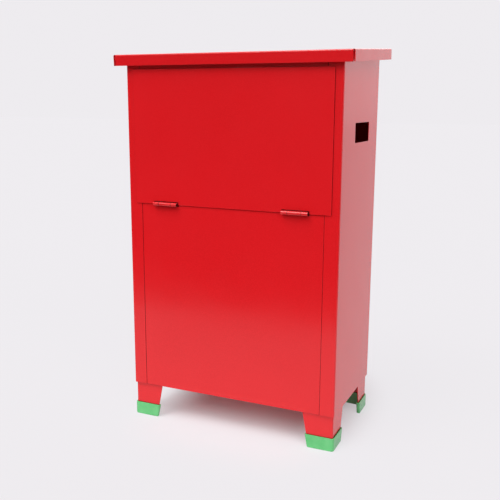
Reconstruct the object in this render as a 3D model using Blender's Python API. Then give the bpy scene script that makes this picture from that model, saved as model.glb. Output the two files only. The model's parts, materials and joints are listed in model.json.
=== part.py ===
"""Fire extinguisher cabinet in folded sheet steel, for two extinguishers.

A box of folded sheet on four short tapered legs with green shoes. The upper half of its front is
a flap on two rolled hinges that folds forward and down. Its lid is a folded pan that slopes gently
down to the front and flips up and back on two more rolled hinges.

Units are metres, +Z up. Cabinet coordinates have y = 0 on the front face of the stiles, +Y to the
rear and z = 0 on the floor; the empty cabinet_origin centres the whole on the world origin.
"""
import math

import bmesh
import bpy
from mathutils import Matrix, Vector

# Sheet and general fits
STEEL = 0.0010
FIT = 0.0003
BEND_INNER = 0.0004
WALL_BEND = 0.0016

# Cabinet shell
CABINET_WIDTH = 0.3668
CABINET_DEPTH = 0.2070
LID_FRONT_HEIGHT = 0.620
WALL_BOTTOM = 0.0592
STILE_WIDTH = 0.0240
REAR_FLANGE_WIDTH = 0.0240
FLOOR_LEVEL = 0.0735
FLOOR_FLANGE = 0.0125
FLOOR_CORNER = 0.0030
HEADER_DROP = 0.018
HEADER_RETURN = 0.012

# Hand holes in the side walls
HAND_HOLE_LENGTH = 0.0820
HAND_HOLE_HEIGHT = 0.0308
HAND_HOLE_SETBACK = 0.1095
HAND_HOLE_LEVEL = 0.5003
HAND_HOLE_CORNER = 0.0016

# Flap in the upper front
SEAM_HEIGHT = 0.3800
SEAM_GAP = 0.0004
PANEL_RETURN = 0.0080
FLAP_LAP = 0.0108
FLAP_TOP_CLEARANCE = 0.0055
PANEL_CORNER = 0.0020

# Lid
LID_SLOPE = math.radians(3.9)
LID_LIP = 0.0175
LID_FRONT_OVERHANG = 0.0096
LID_SIDE_OVERHANG = 0.0180
LID_BEND = 0.0020
LID_CORNER_GAP = 0.0023

# Legs and their shoes
LEG_STEEL = 0.0015
LEG_FACE_TOP = 0.0518
LEG_FACE_FOOT = 0.0445
LEG_SIDE_TOP = 0.0538
LEG_SIDE_FOOT = 0.0445
LEG_OUTER_SETBACK = 0.0006
LEG_FRONT_SETBACK = 0.0004
LEG_REAR_SETBACK = 0.0022
LEG_NOTCH_ROOM = 0.0010
LEG_BEND = 0.0024
SHOE_HEIGHT = 0.0220
SHOE_WALL = 0.0024
SHOE_POCKET_ROOM = 0.0008
SHOE_SOLE = 0.0035
SHOE_END_ROUND = 0.0022
SHOE_LIP_ROUND = 0.0005
SHOE_BASE_ROUND = 0.0015

# Rolled hinges
HINGE_LEAF = 0.0012
BARREL_RADIUS = 0.0030
PIN_CLEARANCE = 0.0002
KNUCKLE_SLIT = 0.0004
KNUCKLE_GAP = 0.0004
PIN_RECESS = 0.0015
PIN_CHAMFER = 0.0004
END_KNUCKLE = 0.0105
MIDDLE_KNUCKLE = 0.0224
FLAP_HINGE_INSET = 0.0705
FLAP_EDGE_DROP = 0.0009
HINGE_NOTCH_ROOM = 0.0012
FLAP_LEAF_HEIGHT = 0.0300
BASE_LEAF_HEIGHT = 0.0280
LID_HINGE_INSET = 0.0705
LID_HINGE_BELOW_LIP = 0.0050
LID_LEAF_TOP_GAP = 0.0016
LID_BASE_LEAF = 0.0300

ARC_STEPS = 20
BEND_STEPS = 4

# Sizes that follow from the ones above
HALF_WIDTH = CABINET_WIDTH / 2
INSIDE_X = HALF_WIDTH - STEEL
PANEL_HALF_WIDTH = INSIDE_X - WALL_BEND
PANEL_FRONT_Y = STEEL + FIT
PANEL_BACK_Y = PANEL_FRONT_Y + STEEL
REAR_PANEL_OUT_Y = CABINET_DEPTH - STEEL - FIT
REAR_PANEL_IN_Y = REAR_PANEL_OUT_Y - STEEL
FLAP_BACK_Y = -FIT
FLAP_FRONT_Y = FLAP_BACK_Y - STEEL
FLAP_HALF_WIDTH = HALF_WIDTH - STILE_WIDTH + FLAP_LAP
FLAP_BOTTOM = SEAM_HEIGHT + SEAM_GAP / 2
PANEL_TOP = SEAM_HEIGHT - SEAM_GAP / 2
HINGE_LENGTH = 2 * END_KNUCKLE + MIDDLE_KNUCKLE
KNUCKLE_BORE = BARREL_RADIUS - HINGE_LEAF
PIN_RADIUS = KNUCKLE_BORE - PIN_CLEARANCE
FLAP_AXIS_Y = FLAP_FRONT_Y - FIT - BARREL_RADIUS
FLAP_AXIS_Z = FLAP_BOTTOM + FLAP_EDGE_DROP

# Lid frame: its origin is the lid hinge axis, and at rest it is turned by LID_SLOPE about X.
LID_AXIS_Y = REAR_PANEL_OUT_Y + FIT + BARREL_RADIUS
LID_TOP = LID_HINGE_BELOW_LIP + LID_LIP
LID_REAR = BARREL_RADIUS + FIT + STEEL
LID_HALF_WIDTH = HALF_WIDTH + LID_SIDE_OVERHANG


def from_lid(y, z):
    """Cabinet (y, z) offset from the lid axis of a point given in the lid's own frame."""
    return (y * math.cos(LID_SLOPE) - z * math.sin(LID_SLOPE),
            y * math.sin(LID_SLOPE) + z * math.cos(LID_SLOPE))


# The lid's front top edge stands LID_FRONT_OVERHANG ahead of the stiles at LID_FRONT_HEIGHT.
LID_FRONT = ((LID_AXIS_Y + LID_FRONT_OVERHANG - LID_TOP * math.sin(LID_SLOPE))
             / math.cos(LID_SLOPE))
LID_AXIS_Z = LID_FRONT_HEIGHT - from_lid(-LID_FRONT, LID_TOP)[1]
LIP_BOTTOM_FRONT = LID_AXIS_Z + from_lid(-LID_FRONT, LID_HINGE_BELOW_LIP)[1]
FLAP_TOP = LIP_BOTTOM_FRONT - FLAP_TOP_CLEARANCE
LID_UNDERSIDE = LID_TOP - STEEL
SHELL_FRONT_Y = LID_AXIS_Y + from_lid(-LID_FRONT, LID_TOP - LID_BEND)[0]
SHELL_REAR_Y = LID_AXIS_Y + from_lid(LID_REAR, LID_HINGE_BELOW_LIP)[0]
CENTRE_Y = (SHELL_FRONT_Y + SHELL_REAR_Y) / 2
BLANK_TOP = LID_AXIS_Z + from_lid(LID_REAR, LID_TOP)[1]

# Legs stand in the corners, under the floor pan, whose flange is notched round them.
FLOOR_OUT_X = INSIDE_X - FIT
FLOOR_FRONT_Y = PANEL_BACK_Y + FIT
FLOOR_REAR_Y = REAR_PANEL_IN_Y - FIT
LEG_OUT_X = FLOOR_OUT_X - LEG_OUTER_SETBACK
LEG_FRONT_Y = FLOOR_FRONT_Y + LEG_FRONT_SETBACK
LEG_REAR_Y = FLOOR_REAR_Y - LEG_REAR_SETBACK
LEG_TOP = FLOOR_LEVEL - STEEL - FIT


def clear_scene():
    for obj in list(bpy.data.objects):
        bpy.data.objects.remove(obj, do_unlink=True)


def make_material(name, colour, roughness, metallic=0.0):
    mat = bpy.data.materials.new(name)
    mat.use_nodes = True
    shader = mat.node_tree.nodes["Principled BSDF"]
    shader.inputs["Base Color"].default_value = (*colour, 1.0)
    shader.inputs["Roughness"].default_value = roughness
    shader.inputs["Metallic"].default_value = metallic
    return mat


def add_object(name, mesh, material=None, parent=None, location=(0, 0, 0)):
    obj = bpy.data.objects.new(name, mesh)
    bpy.context.collection.objects.link(obj)
    if material:
        mesh.materials.append(material)
    obj.parent = parent
    obj.location = location
    return obj


def mesh_from(bm, name):
    bmesh.ops.recalc_face_normals(bm, faces=bm.faces)
    mesh = bpy.data.meshes.new(name)
    bm.to_mesh(mesh)
    bm.free()
    return mesh


def add_empty(name, parent=None, location=(0, 0, 0), rotation=(0, 0, 0)):
    obj = bpy.data.objects.new(name, None)
    bpy.context.collection.objects.link(obj)
    obj.parent = parent
    obj.location = location
    obj.rotation_euler = rotation
    return obj


def prism(outline, start, length, frame):
    """Closed solid: a plane outline pushed from start over length along frame's third column."""
    bm = bmesh.new()
    verts = [bm.verts.new(frame @ Vector((u, v, start))) for u, v in outline]
    face = bm.faces.new(verts)
    pushed = bmesh.ops.extrude_face_region(bm, geom=[face])
    moved = [e for e in pushed["geom"] if isinstance(e, bmesh.types.BMVert)]
    bmesh.ops.translate(bm, verts=moved, vec=frame @ Vector((0, 0, length)))
    return bm


def loft(sections, levels):
    """Closed solid through plane sections of equal point count, one at each level of z."""
    bm = bmesh.new()
    rings = []
    for outline, z in zip(sections, levels):
        rings.append([bm.verts.new((x, y, z)) for x, y in outline])
    for low, high in zip(rings, rings[1:]):
        count = len(low)
        for i in range(count):
            j = (i + 1) % count
            bm.faces.new((low[i], low[j], high[j], high[i]))
    bm.faces.new(rings[0])
    bm.faces.new(rings[-1])
    return bm


# Frames for prisms: columns say where u, v and the push direction point.
ALONG_Z = Matrix.Identity(3)
ALONG_X = Matrix(((0, 0, 1), (1, 0, 0), (0, 1, 0)))
ALONG_Y = Matrix(((1, 0, 0), (0, 0, 1), (0, 1, 0)))


def rounded_outline(corners, radii, steps=BEND_STEPS):
    """Polygon whose corners are rounded by tangent arcs of the given radii."""
    points = []
    count = len(corners)
    for i, corner in enumerate(corners):
        here = Vector(corner)
        radius = radii[i]
        if radius <= 0:
            points.append(here)
            continue
        back = (Vector(corners[i - 1]) - here).normalized()
        ahead = (Vector(corners[(i + 1) % count]) - here).normalized()
        half = back.angle(ahead) / 2
        reach = radius / math.tan(half)
        centre = here + (back + ahead).normalized() * (radius / math.sin(half))
        first = here + back * reach - centre
        turn = math.pi - 2 * half
        sign = 1 if first.y * back.x - first.x * back.y > 0 else -1
        for k in range(steps + 1):
            a = sign * turn * k / steps
            points.append(centre + Vector((first.x * math.cos(a) - first.y * math.sin(a),
                                           first.x * math.sin(a) + first.y * math.cos(a))))
    return [tuple(p) for p in points]


def rectangle(u0, v0, u1, v1, radius=0.0, steps=BEND_STEPS):
    corners = [(u0, v0), (u1, v0), (u1, v1), (u0, v1)]
    return rounded_outline(corners, [radius] * 4, steps)


def hide_cutter(obj):
    obj.display_type = "WIRE"
    obj.hide_render = True
    return obj


def cut(target, cutter, operation="DIFFERENCE"):
    mod = target.modifiers.new(cutter.name, "BOOLEAN")
    mod.operation = operation
    mod.object = cutter
    mod.solver = "EXACT"


def box_cutter(name, low, high, parent):
    bm = bmesh.new()
    bmesh.ops.create_cube(bm, size=1.0)
    size = Vector(high) - Vector(low)
    middle = (Vector(high) + Vector(low)) / 2
    bmesh.ops.scale(bm, vec=size, verts=bm.verts)
    bmesh.ops.translate(bm, vec=middle, verts=bm.verts)
    return hide_cutter(add_object(name, mesh_from(bm, name), parent=parent))


def smooth(obj, degrees=35):
    obj.data.shade_smooth()
    obj.data.set_sharp_from_angle(angle=math.radians(degrees))


# Shell


def wall_profile(side):
    """Plan outline of a side wall with its stile and rear flange, bent from one sheet."""
    out = HALF_WIDTH
    inn = INSIDE_X
    stile = HALF_WIDTH - STILE_WIDTH
    flange = HALF_WIDTH - REAR_FLANGE_WIDTH
    outer = WALL_BEND + STEEL
    rear = CABINET_DEPTH
    corners = [(stile, 0), (out, 0), (out, rear), (flange, rear),
               (flange, rear - STEEL), (inn, rear - STEEL), (inn, STEEL), (stile, STEEL)]
    radii = [0, outer, outer, 0, 0, WALL_BEND, WALL_BEND, 0]
    return [(side * x, y) for x, y in rounded_outline(corners, radii)]


def build_side_wall(name, side, mat, origin, under_lid):
    bm = prism(wall_profile(side), WALL_BOTTOM, BLANK_TOP - WALL_BOTTOM, ALONG_Z)
    wall = add_object(name, mesh_from(bm, name), mat, origin)
    cut(wall, under_lid)
    hole = rectangle(HAND_HOLE_SETBACK - HAND_HOLE_LENGTH / 2, HAND_HOLE_LEVEL - HAND_HOLE_HEIGHT / 2,
                     HAND_HOLE_SETBACK + HAND_HOLE_LENGTH / 2, HAND_HOLE_LEVEL + HAND_HOLE_HEIGHT / 2,
                     HAND_HOLE_CORNER)
    reach = 4 * STEEL
    start = side * (HALF_WIDTH - STEEL / 2) - reach
    punch = prism(hole, start, 2 * reach, ALONG_X)
    cutter = add_object(name + "_hole_cutter", mesh_from(punch, name + "_hole"), parent=origin)
    cut(wall, hide_cutter(cutter))
    smooth(wall)
    return wall


def build_back_panel(mat, origin, under_lid):
    outline = rectangle(-PANEL_HALF_WIDTH, WALL_BOTTOM, PANEL_HALF_WIDTH, BLANK_TOP)
    bm = prism(outline, REAR_PANEL_IN_Y, STEEL, ALONG_Y)
    panel = add_object("back_panel", mesh_from(bm, "back_panel"), mat, origin)
    cut(panel, under_lid)
    return panel


def hinge_span(sign):
    """Ends along x of the room that the panel and the flap leave for one hinge."""
    offset = sign * (HALF_WIDTH - FLAP_HINGE_INSET)
    reach = HINGE_LENGTH / 2 + HINGE_NOTCH_ROOM
    return offset - reach, offset + reach


def build_lower_front_panel(mat, origin):
    """Sheet folded back along its top edge, which is notched for the hinge leaves."""
    front = PANEL_FRONT_Y
    back = PANEL_BACK_Y
    end = front + PANEL_RETURN
    corners = [(front, WALL_BOTTOM), (back, WALL_BOTTOM), (back, PANEL_TOP - STEEL),
               (end, PANEL_TOP - STEEL), (end, PANEL_TOP), (front, PANEL_TOP)]
    outline = rounded_outline(corners, [0, 0, BEND_INNER, 0, 0, BEND_INNER + STEEL])
    bm = prism(outline, -PANEL_HALF_WIDTH, 2 * PANEL_HALF_WIDTH, ALONG_X)
    panel = add_object("lower_front_panel", mesh_from(bm, "lower_front_panel"), mat, origin)
    low = FLAP_AXIS_Z - BARREL_RADIUS - KNUCKLE_GAP
    for side, sign in (("left", -1), ("right", 1)):
        x0, x1 = hinge_span(sign)
        cut(panel, box_cutter("panel_notch_" + side, (x0, -PANEL_RETURN, low),
                              (x1, end + PANEL_RETURN, low + PANEL_RETURN), origin))
    smooth(panel)
    return panel


def build_header_rail(mat, origin, under_lid):
    """Folded angle across the top of the front, behind the stiles."""
    low = LIP_BOTTOM_FRONT - HEADER_DROP
    front = PANEL_FRONT_Y
    back = PANEL_BACK_Y
    corners = [(front, low), (back + HEADER_RETURN, low), (back + HEADER_RETURN, low + STEEL),
               (back, low + STEEL), (back, BLANK_TOP), (front, BLANK_TOP)]
    radii = [BEND_INNER + STEEL, 0, 0, BEND_INNER, 0, 0]
    bm = prism(rounded_outline(corners, radii), -PANEL_HALF_WIDTH, 2 * PANEL_HALF_WIDTH, ALONG_X)
    rail = add_object("header_rail", mesh_from(bm, "header_rail"), mat, origin)
    cut(rail, under_lid)
    smooth(rail)
    return rail


def build_floor_pan(mat, origin):
    """Tray turned over: a floor with a flange down all round, notched at the legs."""
    low = FLOOR_LEVEL - FLOOR_FLANGE
    outer = rectangle(-FLOOR_OUT_X, FLOOR_FRONT_Y, FLOOR_OUT_X, FLOOR_REAR_Y, FLOOR_CORNER)
    bm = prism(outer, low, FLOOR_FLANGE, ALONG_Z)
    top_edges = [e for e in bm.edges if all(abs(v.co.z - FLOOR_LEVEL) < 1e-6 for v in e.verts)]
    bmesh.ops.bevel(bm, geom=top_edges, offset=BEND_INNER + STEEL, segments=3, profile=0.5,
                    affect="EDGES", clamp_overlap=True)
    pan = add_object("floor_pan", mesh_from(bm, "floor_pan"), mat, origin)
    inner = rectangle(-FLOOR_OUT_X + STEEL, FLOOR_FRONT_Y + STEEL, FLOOR_OUT_X - STEEL,
                      FLOOR_REAR_Y - STEEL, FLOOR_CORNER - STEEL)
    hollow = prism(inner, low - FLOOR_FLANGE, 2 * FLOOR_FLANGE - STEEL, ALONG_Z)
    cutter = add_object("floor_pan_cutter", mesh_from(hollow, "floor_pan_hollow"), parent=origin)
    cut(pan, hide_cutter(cutter))
    beyond = 2 * FLOOR_OUT_X
    ceiling = FLOOR_LEVEL - STEEL
    near_x = LEG_OUT_X - LEG_FACE_TOP - LEG_NOTCH_ROOM
    near_y = LEG_FRONT_Y + LEG_SIDE_TOP + LEG_NOTCH_ROOM
    far_y = LEG_REAR_Y - LEG_SIDE_TOP - LEG_NOTCH_ROOM
    for side, x0, x1 in (("left", -beyond, -near_x), ("right", near_x, beyond)):
        for row, y0, y1 in (("front", -beyond, near_y), ("rear", far_y, far_y + beyond)):
            cut(pan, box_cutter("leg_notch_" + row + "_" + side, (x0, y0, ceiling - beyond),
                                (x1, y1, ceiling), origin))
    smooth(pan)
    return pan


# Legs and shoes


def leg_section(face, side, grow, radius, ends):
    """Plan outline of a corner angle. Its outer corner is at (0, 0) and its arms run along +x
    for face and +y for side; grow moves every line outward, and ends rounds the arms' ends."""
    steel = LEG_STEEL
    inner = max(radius - steel - 2 * grow, 0.0)
    corners = [(-grow, -grow), (face + grow, -grow), (face + grow, steel + grow),
               (steel + grow, steel + grow), (steel + grow, side + grow), (-grow, side + grow)]
    return rounded_outline(corners, [radius, ends, ends, inner, ends, ends])


def leg_width(top, foot, z):
    """Arm width at height z on the straight taper between the wall's bottom and the shoe's top."""
    slope = (top - foot) / (WALL_BOTTOM - SHOE_HEIGHT)
    return foot + slope * (min(z, WALL_BOTTOM) - SHOE_HEIGHT)


def angle_loft(levels, grow, radius, ends=0.0):
    sections = []
    for z in levels:
        face = leg_width(LEG_FACE_TOP, LEG_FACE_FOOT, z)
        side = leg_width(LEG_SIDE_TOP, LEG_SIDE_FOOT, z)
        sections.append(leg_section(face, side, grow, radius, ends))
    return loft(sections, levels)


def place_corner(bm, sign_x, rear):
    """Turn a corner piece made at the origin into its corner of the cabinet."""
    y = LEG_REAR_Y if rear else LEG_FRONT_Y
    turn_y = -1 if rear else 1
    for vert in bm.verts:
        x, v, z = vert.co
        vert.co = (sign_x * (LEG_OUT_X - x), y + turn_y * v, z)


def build_leg(where, sign_x, rear, mat, origin):
    bm = angle_loft([SHOE_SOLE + FIT, WALL_BOTTOM, LEG_TOP], 0.0, LEG_BEND)
    place_corner(bm, sign_x, rear)
    leg = add_object("leg_" + where, mesh_from(bm, "leg_" + where), mat, origin)
    smooth(leg)
    return leg


def build_shoe(where, sign_x, rear, mat, origin):
    """Moulded shoe that follows the leg's taper, with a pocket that takes the leg's end."""
    name = "foot_cap_" + where
    bm = angle_loft([0.0, SHOE_HEIGHT], SHOE_WALL, LEG_BEND + SHOE_WALL, SHOE_END_ROUND)
    for level, width, steps in ((0.0, SHOE_BASE_ROUND, 3), (SHOE_HEIGHT, SHOE_LIP_ROUND, 2)):
        rim = [e for e in bm.edges if all(abs(v.co.z - level) < 1e-6 for v in e.verts)]
        bmesh.ops.bevel(bm, geom=rim, offset=width, segments=steps, profile=0.5, affect="EDGES")
    place_corner(bm, sign_x, rear)
    shoe = add_object(name, mesh_from(bm, name), mat, origin)
    pocket = angle_loft([SHOE_SOLE, SHOE_HEIGHT + SHOE_SOLE], SHOE_POCKET_ROOM,
                        LEG_BEND + SHOE_POCKET_ROOM)
    place_corner(pocket, sign_x, rear)
    cutter = add_object(name + "_pocket", mesh_from(pocket, name + "_pocket"), parent=origin)
    cut(shoe, hide_cutter(cutter))
    smooth(shoe)
    return shoe


# Hinges


def rolled_profile(drop, path):
    """Outline of a leaf rolled round its pin, pin at (0, 0). The leaf leaves the roll along +u
    with its outer face at v = -drop, then follows path, a list of outline points from its
    outer face round its end and back to its inner face."""
    inner_drop = drop - HINGE_LEAF
    points = []
    start = -math.asin(min(1.0, drop / BARREL_RADIUS))
    end = -math.asin((inner_drop - KNUCKLE_SLIT) / BARREL_RADIUS) - 2 * math.pi
    for k in range(ARC_STEPS + 1):
        a = start + (end - start) * k / ARC_STEPS
        points.append((BARREL_RADIUS * math.cos(a), BARREL_RADIUS * math.sin(a)))
    start = -math.asin((inner_drop - KNUCKLE_SLIT) / KNUCKLE_BORE) - 2 * math.pi
    end = -math.asin(min(1.0, inner_drop / KNUCKLE_BORE))
    for k in range(ARC_STEPS + 1):
        a = start + (end - start) * k / ARC_STEPS
        points.append((KNUCKLE_BORE * math.cos(a), KNUCKLE_BORE * math.sin(a)))
    return points + list(reversed(path))


def build_leaf(name, outline, frame, middle, offset, clearances, mat, parent):
    """Leaf as long as the hinge, with room cut for the other leaf's knuckles. middle says that
    this leaf owns the middle knuckle; clearances are (u0, v0, u1, v1) boxes in the profile."""
    bm = prism(outline, offset - HINGE_LENGTH / 2, HINGE_LENGTH, frame)
    leaf = add_object(name, mesh_from(bm, name), mat, parent)
    half = MIDDLE_KNUCKLE / 2
    spans = [(-half - KNUCKLE_GAP, half + KNUCKLE_GAP)]
    if middle:
        spans = [(-HINGE_LENGTH, -half + KNUCKLE_GAP / 2), (half - KNUCKLE_GAP / 2, HINGE_LENGTH)]
    for i, (x0, x1) in enumerate(spans):
        for j, (u0, v0, u1, v1) in enumerate(clearances):
            body = prism([(u0, v0), (u1, v0), (u1, v1), (u0, v1)], offset + x0, x1 - x0, frame)
            tag = name + "_room_" + str(i) + str(j)
            cut(leaf, hide_cutter(add_object(tag, mesh_from(body, tag), parent=parent)))
    smooth(leaf)
    return leaf


def build_pin(name, offset, y, z, mat, parent):
    bm = bmesh.new()
    length = HINGE_LENGTH - 2 * PIN_RECESS
    bmesh.ops.create_cone(bm, cap_ends=True, segments=2 * ARC_STEPS, radius1=PIN_RADIUS,
                          radius2=PIN_RADIUS, depth=length,
                          matrix=Matrix.Rotation(math.pi / 2, 4, "Y"))
    rims = [e for e in bm.edges if abs(e.verts[0].co.x - e.verts[1].co.x) < 1e-6]
    bmesh.ops.bevel(bm, geom=rims, offset=PIN_CHAMFER, segments=1, affect="EDGES")
    pin = add_object(name, mesh_from(bm, name), mat, parent, (offset, y, z))
    smooth(pin)
    return pin


def flap_leaf_path():
    """Through the seam, then up behind the flap."""
    near = -FLAP_AXIS_Y
    far = near + HINGE_LEAF
    top = FLAP_LEAF_HEIGHT
    low = -BARREL_RADIUS
    inner = low + HINGE_LEAF
    bend = BEND_INNER + HINGE_LEAF
    corners = [(BARREL_RADIUS, low), (far, low), (far, top), (near, top), (near, inner),
               (BARREL_RADIUS, inner)]
    return rounded_outline(corners, [0, bend, 0, 0, BEND_INNER, 0])[1:-1]


def base_leaf_path():
    """Through the seam, then down behind the lower panel."""
    near = PANEL_BACK_Y + FIT - FLAP_AXIS_Y
    far = near + HINGE_LEAF
    low = -BARREL_RADIUS
    inner = low + HINGE_LEAF
    bottom = low - BASE_LEAF_HEIGHT
    bend = BEND_INNER + HINGE_LEAF
    corners = [(BARREL_RADIUS, low), (near, low), (near, bottom), (far, bottom), (far, inner),
               (BARREL_RADIUS, inner)]
    return rounded_outline(corners, [0, BEND_INNER, 0, 0, bend, 0])[1:-1]


def build_flap_hinge(side, sign, origin, pivot, paint, bright):
    offset = sign * (HALF_WIDTH - FLAP_HINGE_INSET)
    reach = BARREL_RADIUS + KNUCKLE_GAP
    behind = -FLAP_AXIS_Y
    roll_room = (-reach, -reach, behind - FIT / 2, reach)
    seam_room = (-reach, -reach, behind + 2 * HINGE_LEAF, FLAP_BOTTOM - FLAP_AXIS_Z)
    build_leaf("flap_hinge_leaf_" + side, rolled_profile(BARREL_RADIUS, flap_leaf_path()),
               ALONG_X, True, offset, [roll_room, seam_room], paint, pivot)
    panel_back = PANEL_BACK_Y + FIT / 2 - FLAP_AXIS_Y
    carrier = add_empty("flap_hinge_seat_" + side, origin, (0, FLAP_AXIS_Y, FLAP_AXIS_Z))
    build_leaf("flap_hinge_base_" + side, rolled_profile(BARREL_RADIUS, base_leaf_path()),
               ALONG_X, False, offset, [(-reach, -reach, panel_back, reach)], paint, carrier)
    build_pin("flap_hinge_pin_" + side, offset, FLAP_AXIS_Y, FLAP_AXIS_Z, bright, origin)


# Leaf frames of the lid hinge: u runs down the back panel, or up the inside of the rear lip.
LEAF_DOWN = Matrix(((0, 0, 1), (0, 1, 0), (-1, 0, 0)))
LEAF_UP = Matrix(((0, 0, 1), (0, -1, 0), (1, 0, 0)))


def tangent_profile(length):
    """Rolled leaf whose plate is tangent to the roll."""
    leaf_inner = -BARREL_RADIUS + HINGE_LEAF
    path = [(length, -BARREL_RADIUS), (length, leaf_inner)]
    return rolled_profile(BARREL_RADIUS, path)


def build_lid_hinge(side, sign, origin, pivot, paint, bright):
    offset = sign * (HALF_WIDTH - LID_HINGE_INSET)
    reach = BARREL_RADIUS + KNUCKLE_GAP
    room = (-reach, -reach, reach, reach)
    carrier = add_empty("lid_hinge_seat_" + side, origin, (0, LID_AXIS_Y, LID_AXIS_Z))
    build_leaf("lid_hinge_base_" + side, tangent_profile(LID_BASE_LEAF), LEAF_DOWN, False, offset,
               [room], paint, carrier)
    up = LID_UNDERSIDE - LID_LEAF_TOP_GAP
    build_leaf("lid_hinge_leaf_" + side, tangent_profile(up), LEAF_UP, True, offset,
               [room], paint, pivot)
    build_pin("lid_hinge_pin_" + side, offset, LID_AXIS_Y, LID_AXIS_Z, bright, origin)


# Flap and lid


def build_flap(mat, pivot):
    """Flat sheet, notched over the hinge barrels."""
    low = FLAP_BOTTOM - FLAP_AXIS_Z
    high = FLAP_TOP - FLAP_AXIS_Z
    outline = rounded_outline([(-FLAP_HALF_WIDTH, low), (FLAP_HALF_WIDTH, low),
                               (FLAP_HALF_WIDTH, high), (-FLAP_HALF_WIDTH, high)],
                              [PANEL_CORNER] * 4)
    near = FLAP_FRONT_Y - FLAP_AXIS_Y
    bm = prism(outline, near, STEEL, ALONG_Y)
    flap = add_object("flap_panel", mesh_from(bm, "flap_panel"), mat, pivot)
    top = BARREL_RADIUS + HINGE_NOTCH_ROOM
    for side, sign in (("left", -1), ("right", 1)):
        x0, x1 = hinge_span(sign)
        cut(flap, box_cutter("flap_notch_" + side, (x0, near - STEEL, low - top),
                             (x1, near + 2 * STEEL, top), pivot))
    return flap


def pan_body(grow, low, bend):
    """Block with its top edges rounded; grow moves its sides and top outward."""
    bm = bmesh.new()
    x = LID_HALF_WIDTH + grow
    front = -LID_FRONT - grow
    rear = LID_REAR + grow
    top = LID_TOP + grow
    bmesh.ops.create_cube(bm, size=1.0)
    bmesh.ops.scale(bm, vec=(2 * x, rear - front, top - low), verts=bm.verts)
    bmesh.ops.translate(bm, vec=(0, (rear + front) / 2, (top + low) / 2), verts=bm.verts)
    edges = [e for e in bm.edges if all(v.co.z > top - 1e-6 for v in e.verts)]
    bmesh.ops.bevel(bm, geom=edges, offset=bend, segments=4, profile=0.5, affect="EDGES")
    return bm


def build_lid(mat, pivot):
    """Pan with four lips folded down. The front and rear lips stop short of the side lips."""
    lid = add_object("lid_pan", mesh_from(pan_body(0.0, LID_HINGE_BELOW_LIP, LID_BEND), "lid_pan"),
                     mat, pivot)
    hollow = pan_body(-STEEL, LID_HINGE_BELOW_LIP - LID_LIP, LID_BEND - STEEL)
    cut(lid, hide_cutter(add_object("lid_hollow", mesh_from(hollow, "lid_hollow"), parent=pivot)))
    reach = 2 * LID_LIP
    gap_out = LID_HALF_WIDTH - STEEL
    gap_in = gap_out - LID_CORNER_GAP
    for row, edge, bend_end in (("front", -LID_FRONT - STEEL, -LID_FRONT + LID_BEND),
                                ("rear", LID_REAR + STEEL, LID_REAR - LID_BEND)):
        low_y, high_y = sorted((edge, bend_end))
        for side, low_x, high_x in (("left", -gap_out, -gap_in), ("right", gap_in, gap_out)):
            cut(lid, box_cutter("lid_corner_" + row + "_" + side,
                                (low_x, low_y, LID_HINGE_BELOW_LIP - reach),
                                (high_x, high_y, LID_TOP + reach), pivot))
    smooth(lid)
    return lid


def main():
    clear_scene()
    paint = make_material("red_paint", (0.62, 0.012, 0.016), 0.22)
    shoe_green = make_material("green_plastic", (0.09, 0.52, 0.20), 0.45)
    zinc = make_material("dark_steel", (0.12, 0.12, 0.13), 0.45, 1.0)

    origin = add_empty("cabinet_origin", None, (0, -CENTRE_Y, 0))
    flap_pivot = add_empty("flap_pivot", origin, (0, FLAP_AXIS_Y, FLAP_AXIS_Z))
    lid_pivot = add_empty("lid_pivot", origin, (0, LID_AXIS_Y, LID_AXIS_Z), (LID_SLOPE, 0, 0))

    reach = 2 * CABINET_DEPTH
    ceiling = LID_UNDERSIDE - FIT
    under_lid = box_cutter("under_lid_cutter", (-CABINET_WIDTH, -reach, ceiling),
                           (CABINET_WIDTH, reach, ceiling + reach), lid_pivot)

    build_side_wall("left_side_wall", -1, paint, origin, under_lid)
    build_side_wall("right_side_wall", 1, paint, origin, under_lid)
    build_back_panel(paint, origin, under_lid)
    build_lower_front_panel(paint, origin)
    build_header_rail(paint, origin, under_lid)
    build_floor_pan(paint, origin)
    for where, sign_x, rear in (("front_left", -1, False), ("front_right", 1, False),
                                ("rear_left", -1, True), ("rear_right", 1, True)):
        build_leg(where, sign_x, rear, paint, origin)
        build_shoe(where, sign_x, rear, shoe_green, origin)
    build_flap(paint, flap_pivot)
    build_lid(paint, lid_pivot)
    for side, sign in (("left", -1), ("right", 1)):
        build_flap_hinge(side, sign, origin, flap_pivot, paint, zinc)
        build_lid_hinge(side, sign, origin, lid_pivot, paint, zinc)


main()
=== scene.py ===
"""Looks of a fire extinguisher cabinet in glossy red powder-coated sheet steel.

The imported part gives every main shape. This script gives the paint, the shoes' plastic and the
hinge pins' steel, adds the rivet heads and the two raised fields of the front, and sets the floor,
the light and the camera. Lengths are metres and colours are linear.
"""
import json
import math

import bmesh
import bpy
from mathutils import Matrix, Vector


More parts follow.
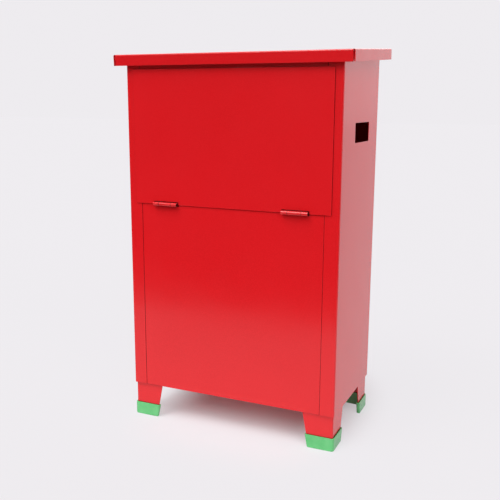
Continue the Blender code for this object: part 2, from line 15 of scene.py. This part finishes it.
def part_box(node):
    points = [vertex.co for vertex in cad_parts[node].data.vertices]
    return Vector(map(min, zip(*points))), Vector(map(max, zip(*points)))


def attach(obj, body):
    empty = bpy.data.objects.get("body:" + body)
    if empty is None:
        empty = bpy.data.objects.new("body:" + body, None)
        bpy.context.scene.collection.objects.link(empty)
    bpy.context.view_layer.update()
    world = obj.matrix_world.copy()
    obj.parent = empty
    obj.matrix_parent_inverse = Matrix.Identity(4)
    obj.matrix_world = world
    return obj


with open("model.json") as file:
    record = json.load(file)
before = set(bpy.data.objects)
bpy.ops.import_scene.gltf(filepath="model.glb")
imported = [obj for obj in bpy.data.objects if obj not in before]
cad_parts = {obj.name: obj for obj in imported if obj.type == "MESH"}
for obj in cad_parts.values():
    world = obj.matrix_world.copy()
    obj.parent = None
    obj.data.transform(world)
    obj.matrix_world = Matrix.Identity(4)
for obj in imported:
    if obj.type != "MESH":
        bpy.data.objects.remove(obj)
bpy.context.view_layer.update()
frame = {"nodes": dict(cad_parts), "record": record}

# Image and camera. The camera's place is measured from the foot of the cabinet's front face, in the
# middle, and its azimuth is to the right of straight ahead.
IMAGE_WIDTH = 500
SENSOR_WIDTH = 36.0
FOCAL_PIXELS = 714.955
CAMERA_AZIMUTH = math.radians(23.622)
CAMERA_PITCH = math.radians(11.572)
CAMERA_ROLL = math.radians(0.306)
CAMERA_PLACE = Vector((0.4821, -1.0161, 0.5439))

FRONT_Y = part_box("left_side_wall")[0].y
REAR = Vector((0.0, 1.0, 0.0))

# Rivet heads on the hinge leaves. The profile runs from the middle of the head's hollow to its rim
# and then under it, as radius and height above the leaf.
RIVET_PROFILE = ((0.0, 0.00030), (0.00070, 0.00030), (0.00090, 0.00066), (0.00135, 0.00080),
                 (0.00195, 0.00064), (0.00240, 0.00026), (0.00250, 0.0), (0.00240, -0.00008),
                 (0.0, -0.00008))
RIVET_STEPS = 20
RIVET_PITCH = 0.0280
RIVET_COLUMNS = (-RIVET_PITCH / 2, RIVET_PITCH / 2)
LID_RIVET_COLUMNS = (-RIVET_PITCH / 2, 0.0, RIVET_PITCH / 2)
# Rows: how far they lie from a leaf's free edge, and on the lid's leaves from the pin's axis
RIVET_ROWS = (0.0070, 0.0185)
LID_RIVET_ROW = 0.0125
# Upright leaves: their nodes, their body, and whether the free edge is the upper one
UPRIGHT_LEAVES = (("flap_hinge_leaf_", "flap", True), ("flap_hinge_base_", "cabinet", False),
                  ("lid_hinge_base_", "cabinet", False))
HINGE_LEAF = 0.0012
BARREL_RADIUS = 0.0030
LID_SLOPE = math.radians(3.9)

# Fields of the lower panel and the header, pressed forward between the stiles until they are
# nearly flush with them. A margin is what the field leaves bare at the sheet's lower or upper
# edge. The notch is its near and far edge from the middle, and its depth.
FIELD_DEPTH = 0.0012
FIELD_SINK = 0.0002
FIELD_HALF_WIDTH = 0.1589
FIELD_BEVEL = 0.0003
FIELD_BEVEL_STEPS = 2
ROUND_PROFILE = 0.5
PANEL_FIELD_MARGIN = 0.0002
PANEL_FIELD_NOTCH = (0.0900, 0.1358, 0.0023)
HEADER_FIELD_MARGIN = 0.0055

# Red powder coat. A noise is given as cells per metre, detail and roughness, and NOISE_RANGE is
# where most of its values lie. A bump is given as its strength and depth.
NOISE_RANGE = (0.35, 0.65)
RED_TONES = ((0.700, 0.0085, 0.0120), (0.735, 0.0105, 0.0150))
RED_SPECK = (0.760, 0.0120, 0.0170)
RED_MOTTLE_NOISE = (5.0, 2.0, 0.5)
RED_SPECK_NOISE = (900.0, 1.0, 0.5)
RED_GLOSS_NOISE = (22.0, 4.0, 0.6)
RED_GLOSS = (0.165, 0.215)
PEEL_NOISE = (330.0, 2.0, 0.45)
PEEL_BUMP = (0.17, 0.00012)
WAVE_NOISE = (28.0, 1.0, 0.5)
WAVE_BUMP = (0.5, 0.00020)
EDGE_ROUND = 0.0004
EDGE_SAMPLES = 4

# Painted shade in the joints of the sheets, from ambient occlusion: how far it looks for a
# neighbour, how open a place is where the painted shade is full and where it ends, and its colour
JOINT_REACH = 0.0035
JOINT_RANGE = (0.42, 0.82)
JOINT_SAMPLES = 12
JOINT_SHADE = (0.032, 0.0010, 0.0012)
# How far a face looks up or down where panels begin to lose their painted shade and where they have
# none, and how far it looks sideways where a knuckle's cut end, painted dark as if in shade, begins
# and where it is full
FLAT_FACE = (0.10, 0.40)
KNUCKLE_END = (0.80, 0.95)
KNUCKLE_END_SHADE = 0.85

# Green moulded plastic of the shoes
GREEN_TONES = ((0.110, 0.500, 0.170), (0.145, 0.550, 0.205))
GREEN_MOTTLE_NOISE = (60.0, 3.0, 0.5)
GREEN_GLOSS_NOISE = (180.0, 3.0, 0.5)
GREEN_GLOSS = (0.18, 0.27)
GRAIN_NOISE = (1600.0, 2.0, 0.5)
GRAIN_BUMP = (0.35, 0.00010)
GREEN_SUBSURFACE = 0.12
GREEN_SUBSURFACE_RADIUS = (0.0006, 0.0018, 0.0009)

# Dark steel of the hinge pins
STEEL_TONES = ((0.045, 0.042, 0.042), (0.085, 0.080, 0.080))
STEEL_MOTTLE_NOISE = (500.0, 4.0, 0.5)
STEEL_GLOSS_NOISE = (700.0, 3.0, 0.5)
STEEL_GLOSS = (0.32, 0.50)

# Floor and backdrop. PALE is what camera, glossy and transmission rays see of both, and the
# floor's own paper takes the lamps' light and the cabinet's shadow.
PALE = (0.855, 0.835, 0.863)
FLOOR_COLOUR = (0.800, 0.780, 0.806)
FLOOR_DARKEST = 0.985
FLOOR_NOISE = (1.5, 2.0, 0.5)
FLOOR_SIZE = 40.0
# Around the cabinet the floor shows PALE at the share FLOOR_GLOW. Under it, along a line of half
# length SHADE_HALF about SHADE_MIDDLE, it shows the shaded paper alone, and the share rises from
# there over SHADE_EDGE, sideways and in depth.
FLOOR_GLOW = 0.94
SHADE_MIDDLE = (0.0, 0.0394, 0.0)
SHADE_HALF = (0.085, 0.0, 1.0)
SHADE_EDGE = (0.151, 0.290)
# Dark flag: distance ahead of the front, width and height, and colour
FLAG_AHEAD = 0.64
FLAG_SIZE = (3.0, 0.75)
FLAG_COLOUR = (0.03, 0.03, 0.03)
# Strength of the world's white light on the object
AMBIENT = 0.03
# Lamps: strength, elevation, azimuth and angular size. At azimuth 0 a lamp faces the cabinet's
# front, and a negative azimuth is to its left.
LAMPS = {
    "top": (0.36, 80, -10, 30),
    "key": (1.34, 64, -25, 30),
    "key_low": (0.96, 46, -25, 34),
    "left": (0.50, 35, -70, 40),
    "right": (1.24, 35, 41, 40),
    "side": (0.24, 20, 75, 60),
    "low": (0.46, 6, -8, 40),
    "rim": (0.10, 12, 150, 40),
    "back": (0.80, 24, 205, 60),
}


def add_node(tree, kind, **values):
    """New shader node. Names of sockets, with _ for a space, set their constant values."""
    node = tree.nodes.new(kind)
    for name, value in values.items():
        if hasattr(node, name):
            setattr(node, name, value)
        else:
            node.inputs[name.replace("_", " ")].default_value = value
    return node


def new_material(name):
    """New material, with its node tree and its shader."""
    mat = bpy.data.materials.new(name)
    mat.use_nodes = True
    return mat, mat.node_tree, mat.node_tree.nodes["Principled BSDF"]


def coordinates(tree):
    """The tree's one node of the piece's own coordinates, so that a finish moves with its piece."""
    name = "Coordinates"
    return tree.nodes.get(name) or add_node(tree, "ShaderNodeTexCoord", name=name)


def noise_at(tree, noise):
    """Noise over the piece, from its cells per metre, detail and roughness."""
    scale, detail, roughness = noise
    node = add_node(tree, "ShaderNodeTexNoise", Scale=scale, Detail=detail, Roughness=roughness)
    tree.links.new(coordinates(tree).outputs["Object"], node.inputs["Vector"])
    return node.outputs["Fac"]


def spread(tree, source, low, high, source_range=NOISE_RANGE):
    """From low to high as the source goes through its range, and held there outside it."""
    node = add_node(tree, "ShaderNodeMapRange", From_Min=source_range[0], From_Max=source_range[1],
                    To_Min=low, To_Max=high)
    tree.links.new(source, node.inputs["Value"])
    return node.outputs["Result"]


def noise_between(tree, noise, low, high):
    """Noise over the piece that goes from low to high."""
    return spread(tree, noise_at(tree, noise), low, high)


def mix_colours(tree, factor, first, second):
    """The first colour where the factor is 0 and the second where it is 1."""
    node = add_node(tree, "ShaderNodeMix", data_type="RGBA")
    tree.links.new(factor, node.inputs["Factor"])
    for socket, colour in (("A", first), ("B", second)):
        place = [s for s in node.inputs if s.name == socket and s.type == "RGBA"][0]
        if isinstance(colour, tuple):
            place.default_value = (*colour, 1.0)
        else:
            tree.links.new(colour, place)
    return [s for s in node.outputs if s.type == "RGBA"][0]


def combine(tree, operation, first, second):
    """One value from two, by a Math node's operation."""
    node = add_node(tree, "ShaderNodeMath", operation=operation)
    tree.links.new(first, node.inputs[0])
    tree.links.new(second, node.inputs[1])
    return node.outputs[0]


def bump(tree, noise, strength_and_depth, over=None):
    """Normal of a surface that a noise raises, over another normal where one is given."""
    strength, depth = strength_and_depth
    node = add_node(tree, "ShaderNodeBump", Strength=strength, Distance=depth)
    tree.links.new(noise_at(tree, noise), node.inputs["Height"])
    if over is not None:
        tree.links.new(over, node.inputs["Normal"])
    return node.outputs["Normal"]


def own_normal(tree, axis):
    """How far the surface faces along one of the piece's own axes, either way, from 0 to 1."""
    parts = add_node(tree, "ShaderNodeSeparateXYZ")
    tree.links.new(coordinates(tree).outputs["Normal"], parts.inputs[0])
    size = add_node(tree, "ShaderNodeMath", operation="ABSOLUTE")
    tree.links.new(parts.outputs[axis], size.inputs[0])
    return size.outputs[0]


def shade_in_joints(tree, colour, knuckles):
    """The colour, darkened with painted shade by ambient occlusion where two sheets meet. On panels
    that is the upright faces beside an edge, and on the rolled knuckles of the hinges it is every
    hollow and the cut ends, which are painted dark as if in shade."""
    near = add_node(tree, "ShaderNodeAmbientOcclusion", samples=JOINT_SAMPLES, Distance=JOINT_REACH)
    factor = spread(tree, near.outputs["AO"], 1.0, 0.0, JOINT_RANGE)
    if knuckles:
        # painted shade on the knuckles' cut ends
        ends = spread(tree, own_normal(tree, "X"), 0.0, KNUCKLE_END_SHADE, KNUCKLE_END)
        factor = combine(tree, "MAXIMUM", factor, ends)
    else:
        upright = spread(tree, own_normal(tree, "Z"), 1.0, 0.0, FLAT_FACE)
        factor = combine(tree, "MULTIPLY", factor, upright)
    return mix_colours(tree, factor, colour, JOINT_SHADE)


def red_paint(name, knuckles=False):
    """Glossy powder coat: fine orange peel, faint mottling and slightly uneven gloss."""
    mat, tree, shader = new_material(name)
    broad = noise_between(tree, RED_MOTTLE_NOISE, 0.0, 1.0)
    fine = noise_between(tree, RED_SPECK_NOISE, 0.0, 1.0)
    tone = mix_colours(tree, broad, *RED_TONES)
    speck = mix_colours(tree, fine, tone, RED_SPECK)
    # base colour darkened with painted shade in the joints
    tree.links.new(shade_in_joints(tree, speck, knuckles), shader.inputs["Base Color"])
    tree.links.new(noise_between(tree, RED_GLOSS_NOISE, *RED_GLOSS), shader.inputs["Roughness"])
    edges = add_node(tree, "ShaderNodeBevel", samples=EDGE_SAMPLES, Radius=EDGE_ROUND)
    waves = bump(tree, WAVE_NOISE, WAVE_BUMP, edges.outputs["Normal"])
    tree.links.new(bump(tree, PEEL_NOISE, PEEL_BUMP, waves), shader.inputs["Normal"])
    return mat


def green_plastic():
    """Soft moulded plastic with a fine matt grain."""
    mat, tree, shader = new_material("green_moulded_plastic")
    tone = mix_colours(tree, noise_between(tree, GREEN_MOTTLE_NOISE, 0.0, 1.0), *GREEN_TONES)
    tree.links.new(tone, shader.inputs["Base Color"])
    shader.inputs["Subsurface Weight"].default_value = GREEN_SUBSURFACE
    shader.inputs["Subsurface Radius"].default_value = GREEN_SUBSURFACE_RADIUS
    shader.inputs["Subsurface Scale"].default_value = 1.0
    tree.links.new(noise_between(tree, GREEN_GLOSS_NOISE, *GREEN_GLOSS), shader.inputs["Roughness"])
    tree.links.new(bump(tree, GRAIN_NOISE, GRAIN_BUMP), shader.inputs["Normal"])
    return mat


def pin_steel():
    """Dark, oily steel."""
    mat, tree, shader = new_material("pin_steel")
    tone = mix_colours(tree, noise_between(tree, STEEL_MOTTLE_NOISE, 0.0, 1.0), *STEEL_TONES)
    tree.links.new(tone, shader.inputs["Base Color"])
    shader.inputs["Metallic"].default_value = 1.0
    tree.links.new(noise_between(tree, STEEL_GLOSS_NOISE, *STEEL_GLOSS), shader.inputs["Roughness"])
    return mat


def dress_nodes():
    """A finish for every CAD node. Returns the sheets' paint for the pieces added here."""
    paint = red_paint("red_powder_coat")
    knuckles = red_paint("red_hinge_coat", knuckles=True)
    green = green_plastic()
    steel = pin_steel()
    for name, node in frame["nodes"].items():
        if name.startswith("foot_cap"):
            finish = green
        elif "_pin_" in name:
            finish = steel
        elif "_hinge_" in name:
            finish = knuckles
        else:
            finish = paint
        for slot in node.material_slots:
            slot.material = finish
    return paint


def make_mesh(name, bm):
    """Mesh of what bm holds, which is freed."""
    mesh = bpy.data.meshes.new(name)
    bm.to_mesh(mesh)
    bm.free()
    return mesh


def link_object(name, data):
    """New object in the scene."""
    obj = bpy.data.objects.new(name, data)
    bpy.context.scene.collection.objects.link(obj)
    return obj


def add_mesh(name, mesh, material):
    """New object of one material."""
    mesh.materials.append(material)
    return link_object(name, mesh)


def lathe(bm, profile, steps, matrix):
    """Closed turned form about the matrix's Z, through a profile that starts and ends on it."""
    rings = []
    for radius, height in profile:
        count = steps if radius else 1
        angles = [2 * math.pi * k / count for k in range(count)]
        places = [(radius * math.cos(a), radius * math.sin(a), height) for a in angles]
        rings.append([bm.verts.new(matrix @ Vector(place)) for place in places])
    for upper, lower in zip(rings, rings[1:]):
        for k in range(steps):
            ring = [upper[k % len(upper)], lower[k % len(lower)], lower[(k + 1) % len(lower)],
                    upper[(k + 1) % len(upper)]]
            face = [v for i, v in enumerate(ring) if v is not ring[i - 1]]
            bm.faces.new(face)


def add_rivets(name, body, places, outward, paint):
    """Painted rivet heads in one piece, standing on a leaf whose face looks along outward."""
    turn = outward.to_track_quat("Z", "Y").to_matrix().to_4x4()
    bm = bmesh.new()
    for place in places:
        lathe(bm, RIVET_PROFILE, RIVET_STEPS, Matrix.Translation(place) @ turn)
    bmesh.ops.recalc_face_normals(bm, faces=bm.faces)
    mesh = make_mesh(name, bm)
    mesh.shade_smooth()
    piece = add_mesh(name, mesh, paint)
    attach(piece, body)


def build_rivets(paint):
    """Rivet heads on the hinges' leaves: two rows on each upright leaf, and one on each leaf that
    lies against the lid's rear lip and slopes with it."""
    lid_axis = next(Vector(joint["pos_m"]) for joint in frame["record"]["behaviour"]["joints"]
                    if joint["name"] == "lid_hinge")
    lid_turn = Matrix.Rotation(LID_SLOPE, 4, "X")
    for side in ("left", "right"):
        for node, body, from_top in UPRIGHT_LEAVES:
            low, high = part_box(node + side)
            face = low.y + HINGE_LEAF if node.startswith("lid") else high.y
            levels = [high.z - row if from_top else low.z + row for row in RIVET_ROWS]
            middle = (low.x + high.x) / 2
            places = [Vector((middle + dx, face, z)) for z in levels for dx in RIVET_COLUMNS]
            add_rivets(node.replace("hinge", "rivets") + side, body, places, REAR, paint)
        low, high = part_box("lid_hinge_leaf_" + side)
        middle = (low.x + high.x) / 2
        offset = lid_turn @ Vector((0.0, BARREL_RADIUS - HINGE_LEAF, LID_RIVET_ROW))
        places = [lid_axis + Vector((middle + dx, 0.0, 0.0)) + offset for dx in LID_RIVET_COLUMNS]
        add_rivets("lid_rivets_leaf_" + side, "lid", places, lid_turn @ -REAR, paint)


def build_field(name, node, half, paint):
    """Raised field on a sheet's front. half is the right half of its outline, from the bottom
    up."""
    outline = half + [(-x, z) for x, z in reversed(half)]
    front_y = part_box(node)[0].y - FIELD_DEPTH
    bm = bmesh.new()
    front = bm.faces.new([bm.verts.new((x, front_y, z)) for x, z in outline])
    rim = list(front.edges)
    back = bmesh.ops.extrude_face_region(bm, geom=[front], use_keep_orig=True)
    moved = [v for v in back["geom"] if isinstance(v, bmesh.types.BMVert)]
    bmesh.ops.translate(bm, verts=moved, vec=(0.0, FIELD_DEPTH + FIELD_SINK, 0.0))
    bmesh.ops.bevel(bm, geom=rim, offset=FIELD_BEVEL, segments=FIELD_BEVEL_STEPS,
                    profile=ROUND_PROFILE, affect="EDGES")
    bmesh.ops.recalc_face_normals(bm, faces=bm.faces)
    piece = add_mesh(name, make_mesh(name, bm), paint)
    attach(piece, "cabinet")


def build_fields(paint):
    """The lower panel's field reaches the seam, where it is notched for the flap's hinges, and the
    header's lies in the middle of its rail."""
    edge = FIELD_HALF_WIDTH
    near, far, drop = PANEL_FIELD_NOTCH
    low, high = (corner.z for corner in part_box("lower_front_panel"))
    build_field("lower_panel_field", "lower_front_panel",
                [(edge, low + PANEL_FIELD_MARGIN), (edge, high), (far, high), (far, high - drop),
                 (near, high - drop), (near, high)], paint)
    low, high = (corner.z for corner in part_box("header_rail"))
    build_field("header_field", "header_rail",
                [(edge, low + HEADER_FIELD_MARGIN), (edge, high - HEADER_FIELD_MARGIN)], paint)


def flat_panel(name, width, length):
    """Flat rectangle about the origin."""
    bm = bmesh.new()
    bmesh.ops.create_grid(bm, x_segments=1, y_segments=1, size=0.5,
                          matrix=Matrix.Diagonal((width, length, 1.0, 1.0)))
    return make_mesh(name, bm)


def seen_directly(tree):
    """1 for camera, glossy and transmission rays, and 0 for the light that falls on the object."""
    path = add_node(tree, "ShaderNodeLightPath")
    seen = path.outputs["Is Camera Ray"]
    for name in ("Is Glossy Ray", "Is Transmission Ray"):
        seen = combine(tree, "MAXIMUM", seen, path.outputs[name])
    return seen


def outside_cabinet(tree):
    """0 on the floor under the middle of the cabinet, rising to FLOOR_GLOW over SHADE_EDGE."""
    scale = (1 / SHADE_EDGE[0], 1 / SHADE_EDGE[1], 0.0)
    where = coordinates(tree).outputs["Object"]
    steps = (("SUBTRACT", SHADE_MIDDLE), ("ABSOLUTE", None), ("SUBTRACT", SHADE_HALF),
             ("MAXIMUM", (0.0, 0.0, 0.0)), ("MULTIPLY", scale))
    for operation, value in steps:
        node = add_node(tree, "ShaderNodeVectorMath", operation=operation)
        tree.links.new(where, node.inputs[0])
        if value:
            node.inputs[1].default_value = value
        where = node.outputs["Vector"]
    length = add_node(tree, "ShaderNodeVectorMath", operation="LENGTH")
    tree.links.new(where, length.inputs[0])
    ramp = add_node(tree, "ShaderNodeMapRange", interpolation_type="SMOOTHSTEP", To_Max=FLOOR_GLOW)
    tree.links.new(length.outputs["Value"], ramp.inputs["Value"])
    return ramp.outputs["Result"]


def mix_shaders(tree, factor, first, second, output):
    """The first shader where the factor is 0 and the second where it is 1, shown as the surface."""
    mix = add_node(tree, "ShaderNodeMixShader")
    for socket, source in enumerate((factor, first.outputs[0], second.outputs[0])):
        tree.links.new(source, mix.inputs[socket])
    tree.links.new(mix.outputs[0], tree.nodes[output].inputs["Surface"])


def floor_paper():
    """Pale paper that is faintly mottled, and shows its own pale level away from the cabinet."""
    mat, tree, shader = new_material("floor_paper")
    tree.nodes.remove(shader)
    darker = tuple(FLOOR_DARKEST * c for c in FLOOR_COLOUR)
    shade = noise_between(tree, FLOOR_NOISE, 0.0, 1.0)
    paper = add_node(tree, "ShaderNodeBsdfDiffuse")
    tree.links.new(mix_colours(tree, shade, darker, FLOOR_COLOUR), paper.inputs["Color"])
    glow = add_node(tree, "ShaderNodeEmission", Color=(*PALE, 1.0), Strength=1.0)
    share = combine(tree, "MULTIPLY", seen_directly(tree), outside_cabinet(tree))
    mix_shaders(tree, share, paper, glow, "Material Output")
    return mat


def flag_cloth():
    """Dark cloth without gloss."""
    mat, _, shader = new_material("flag_cloth")
    shader.inputs["Base Color"].default_value = (*FLAG_COLOUR, 1.0)
    shader.inputs["Roughness"].default_value = 1.0
    shader.inputs["Specular IOR Level"].default_value = 0.0
    return mat


def build_stage():
    """Pale floor to the horizon, and a dark flag ahead of the cabinet that only reflections and
    bounced light see: the upper front mirrors it, and the lower front mirrors the floor."""
    floor = add_mesh("floor", flat_panel("floor", FLOOR_SIZE, FLOOR_SIZE), floor_paper())
    flag = add_mesh("flag", flat_panel("flag", *FLAG_SIZE), flag_cloth())
    flag.location = (0.0, FRONT_Y - FLAG_AHEAD, FLAG_SIZE[1] / 2)
    flag.rotation_euler = (math.radians(90), 0.0, 0.0)
    flag.visible_camera = False
    flag.visible_shadow = False
    flag.visible_transmission = False


def build_world():
    """Faint white light on the object, in front of a pale backdrop."""
    world = bpy.data.worlds.new("studio")
    bpy.context.scene.world = world
    world.use_nodes = True
    tree = world.node_tree
    tree.nodes.clear()
    add_node(tree, "ShaderNodeOutputWorld", name="World Output")
    light = add_node(tree, "ShaderNodeBackground", Color=(1.0, 1.0, 1.0, 1.0), Strength=AMBIENT)
    pale = add_node(tree, "ShaderNodeBackground", Color=(*PALE, 1.0), Strength=1.0)
    mix_shaders(tree, seen_directly(tree), light, pale, "World Output")


def build_lamps():
    """Broad, far lamps, which light a surface the same wherever it stands."""
    for name, (strength, elevation, azimuth, angle) in LAMPS.items():
        lamp = bpy.data.lights.new(name, "SUN")
        lamp.energy = strength
        lamp.angle = math.radians(angle)
        turn = (math.radians(90 - elevation), 0.0, math.radians(azimuth))
        link_object(name, lamp).rotation_euler = turn


def build_camera():
    """The photograph's camera."""
    data = bpy.data.cameras.new("camera")
    data.sensor_width = SENSOR_WIDTH
    data.lens = FOCAL_PIXELS / IMAGE_WIDTH * SENSOR_WIDTH
    camera = link_object("camera", data)
    place = Matrix.Translation(CAMERA_PLACE + Vector((0.0, FRONT_Y, 0.0)))
    turn = (Matrix.Rotation(CAMERA_AZIMUTH, 4, "Z")
            @ Matrix.Rotation(math.pi / 2 - CAMERA_PITCH, 4, "X")
            @ Matrix.Rotation(CAMERA_ROLL, 4, "Z"))
    camera.matrix_world = place @ turn
    bpy.context.scene.camera = camera


red = dress_nodes()
build_rivets(red)
build_fields(red)
build_stage()
build_world()
build_lamps()
build_camera()
bpy.context.scene.view_settings.view_transform = "Standard"
